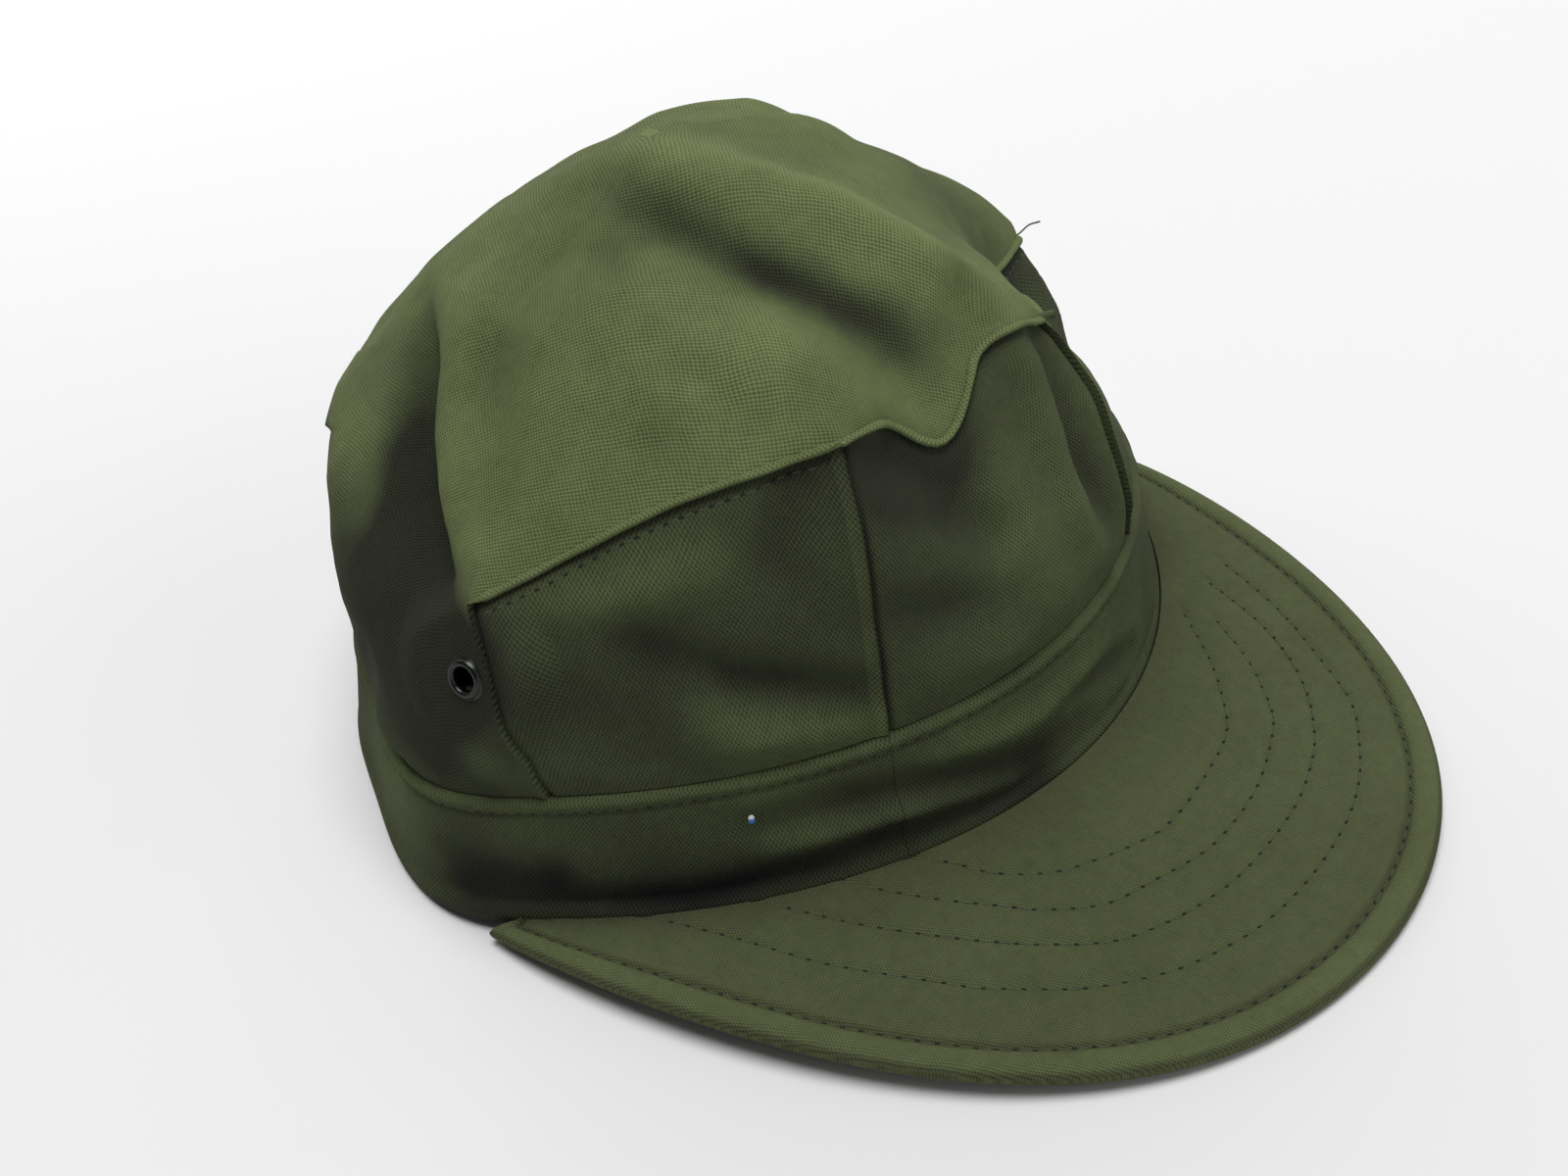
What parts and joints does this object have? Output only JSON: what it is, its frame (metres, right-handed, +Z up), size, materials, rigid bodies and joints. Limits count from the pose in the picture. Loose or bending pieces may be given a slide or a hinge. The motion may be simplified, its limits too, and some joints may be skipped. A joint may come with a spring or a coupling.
{
  "type": "utility cap",
  "caption": "Soft cotton utility cap with a cornered crown, a headband, vent eyelets and a stitched visor.",
  "frame": {"origin": "on the surface the cap rests on, under the middle of the whole cap, visor included", "axes": "+Z up, -Y towards the front of the visor, -X the wearer's right"},
  "size_m": [0.209, 0.2572, 0.1268],
  "materials": {
    "cotton": "olive cotton sateen, slightly worn",
    "cotton_top": "olive cotton sateen, faded on top",
    "eyelet_metal": "dark gunmetal, worn bright on the rim"
  },
  "bodies": {
    "root": {"crown_top": "cotton_top", "front_panel": "cotton", "side_panel_right": "cotton", "side_panel_left": "cotton", "headband": "cotton", "visor": "cotton", "eyelet_right": "eyelet_metal", "eyelet_left": "eyelet_metal"}
  },
  "joints": []
}
